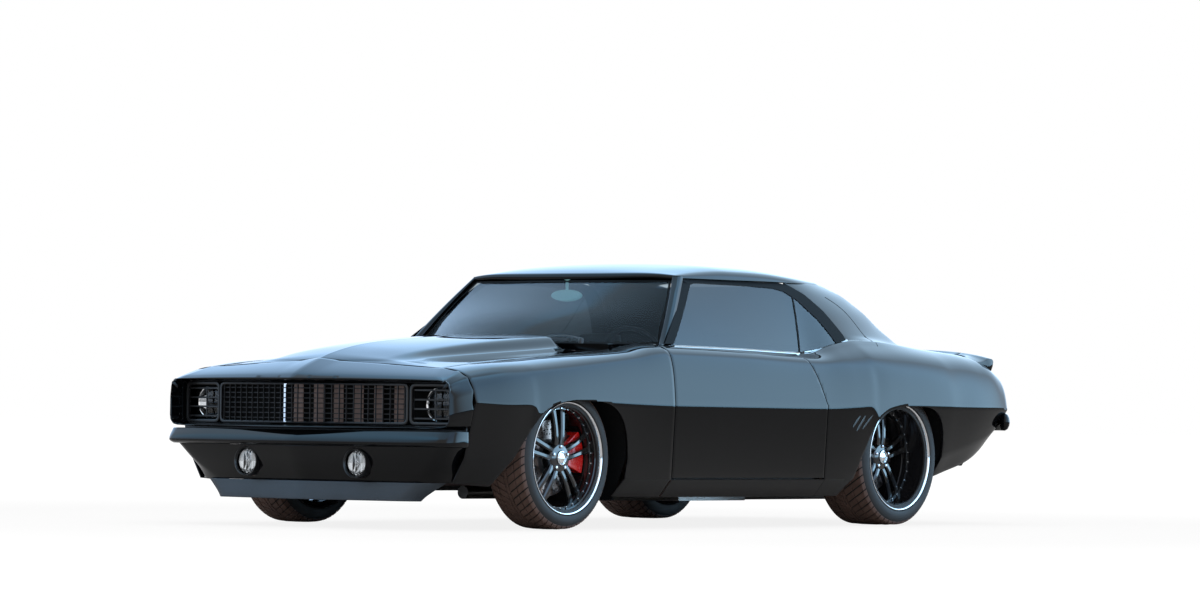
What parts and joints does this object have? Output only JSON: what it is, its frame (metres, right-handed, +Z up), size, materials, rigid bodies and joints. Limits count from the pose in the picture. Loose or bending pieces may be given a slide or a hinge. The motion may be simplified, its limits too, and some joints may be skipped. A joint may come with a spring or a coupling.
{
  "type": "two-door muscle car",
  "caption": "Lowered two-door fastback coupe on large wheels, with opening doors, hood and deck lid, steered front wheels and a hollow cabin.",
  "frame": {"origin": "on the ground under the middle of the car's length and width", "axes": "+X to the car's left, +Y to its rear, +Z up; the front faces -Y"},
  "size_m": [1.89, 4.768, 1.298],
  "materials": {
    "body_paint": "gloss",
    "satin_black": "satin",
    "underbody": "matte",
    "cast_metal": "rough",
    "steel": "worn",
    "wheel_metal": "polished and black",
    "tyre": "matte",
    "tinted_glass": "tinted",
    "lamp_clear": "reflector",
    "lamp_red": "gloss",
    "chin_plastic": "matte",
    "trim": "satin",
    "seat_leather": "satin",
    "mirror_glass": "polished"
  },
  "bodies": {
    "body": {"floor_pan": "underbody", "firewall": "underbody", "rear_tubs": "underbody", "front_subframe": "underbody", "engine": "cast_metal", "radiator": "steel", "header_panel": "body_paint", "grille": "satin_black", "lamp_doors": "satin_black", "head_lamps": "lamp_clear", "front_bumper": "body_paint", "front_valance": "body_paint", "chin_spoiler": "chin_plastic", "fog_lamps": "lamp_clear", "fender_left": "body_paint", "fender_right": "body_paint", "cowl": "body_paint", "windshield": "tinted_glass", "wipers": "trim", "roof": "body_paint", "quarter_left": "body_paint", "quarter_right": "body_paint", "quarter_glass": "tinted_glass", "rear_window": "tinted_glass", "deck_filler": "body_paint", "tail_panel": "body_paint", "tail_lamps": "lamp_red", "rear_bumper": "body_paint", "rear_valance": "body_paint", "rear_axle": "cast_metal", "exhaust": "steel", "front_seats": "seat_leather", "rear_seat": "seat_leather", "dashboard": "trim", "mirror_inside": "mirror_glass"},
    "knuckle_left": {"knuckle_left": "cast_metal"},
    "knuckle_right": {"knuckle_right": "cast_metal"},
    "wheel_front_left": {"tyre_front_left": "tyre", "wheel_front_left": "wheel_metal"},
    "wheel_front_right": {"tyre_front_right": "tyre", "wheel_front_right": "wheel_metal"},
    "wheel_rear_left": {"tyre_rear_left": "tyre", "wheel_rear_left": "wheel_metal"},
    "wheel_rear_right": {"tyre_rear_right": "tyre", "wheel_rear_right": "wheel_metal"},
    "door_left": {"door_left": "body_paint", "door_glass_left": "tinted_glass"},
    "door_right": {"door_right": "body_paint", "door_glass_right": "tinted_glass"},
    "hood": {"hood": "body_paint"},
    "deck_lid": {"deck_lid": "body_paint", "rear_spoiler": "body_paint"},
    "steering_wheel": {"steering_wheel": "seat_leather"}
  },
  "joints": [
    {"name": "steer_left", "type": "hinge", "parent": "body", "child": "knuckle_left", "pos_m": [0.7, -1.42, 0.334], "axis": [0, 0, 1], "range_deg": [-23, 23]},
    {"name": "steer_right", "type": "hinge", "parent": "body", "child": "knuckle_right", "pos_m": [-0.7, -1.42, 0.334], "axis": [0, 0, 1], "range_deg": [-23, 23]},
    {"name": "steering_wheel_turn", "type": "hinge", "parent": "body", "child": "steering_wheel", "pos_m": [0.37, -0.225, 0.8], "axis": [0, 0.9135, 0.4067], "range_deg": [-345, 345]},
    {"name": "spin_front_left", "type": "hinge", "parent": "knuckle_left", "child": "wheel_front_left", "pos_m": [0.75, -1.42, 0.334], "axis": [1, 0, 0], "continuous": true},
    {"name": "spin_front_right", "type": "hinge", "parent": "knuckle_right", "child": "wheel_front_right", "pos_m": [-0.75, -1.42, 0.334], "axis": [1, 0, 0], "continuous": true},
    {"name": "spin_rear_left", "type": "hinge", "parent": "body", "child": "wheel_rear_left", "pos_m": [0.75, 1.323, 0.345], "axis": [1, 0, 0], "continuous": true},
    {"name": "spin_rear_right", "type": "hinge", "parent": "body", "child": "wheel_rear_right", "pos_m": [-0.75, 1.323, 0.345], "axis": [1, 0, 0], "continuous": true},
    {"name": "door_left_open", "type": "hinge", "parent": "body", "child": "door_left", "pos_m": [0.895, -0.5615, 0.5], "axis": [0, 0, -1], "range_deg": [0, 65]},
    {"name": "door_right_open", "type": "hinge", "parent": "body", "child": "door_right", "pos_m": [-0.895, -0.5615, 0.5], "axis": [0, 0, 1], "range_deg": [0, 65]},
    {"name": "hood_open", "type": "hinge", "parent": "body", "child": "hood", "pos_m": [0, -0.927, 0.839], "axis": [-1, 0, 0], "range_deg": [0, 45]},
    {"name": "deck_lid_open", "type": "hinge", "parent": "body", "child": "deck_lid", "pos_m": [0, 1.828, 0.888], "axis": [1, 0, 0], "range_deg": [0, 50]}
  ],
  "couplings": [
    {"joint": "steer_right", "follows": "steer_left", "ratio": 1},
    {"joint": "steering_wheel_turn", "follows": "steer_left", "ratio": 15}
  ]
}
